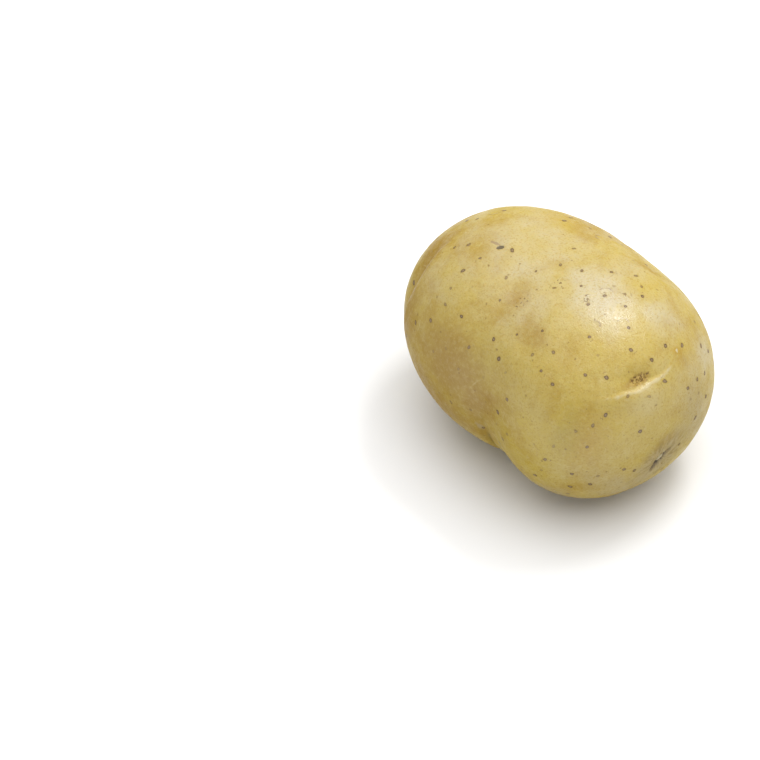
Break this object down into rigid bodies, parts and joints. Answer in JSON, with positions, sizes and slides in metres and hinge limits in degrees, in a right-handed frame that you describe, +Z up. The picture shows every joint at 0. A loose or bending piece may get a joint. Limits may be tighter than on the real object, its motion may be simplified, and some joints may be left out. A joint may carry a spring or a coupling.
{
  "type": "potato",
  "caption": "Whole washed yellow table potato, oblong with a soft waist and a fold low on one flank, lying on a small flat spot.",
  "frame": {"origin": "on the surface the potato rests on, under the middle of its bounding box", "axes": "+X along the potato's length towards the stem end, +Y across its width away from the folded flank, +Z up out of the resting spot"},
  "size_m": [0.0888, 0.0652, 0.0591],
  "materials": {
    "potato_skin": null
  },
  "bodies": {
    "root": {"potato": "potato_skin"}
  },
  "joints": []
}
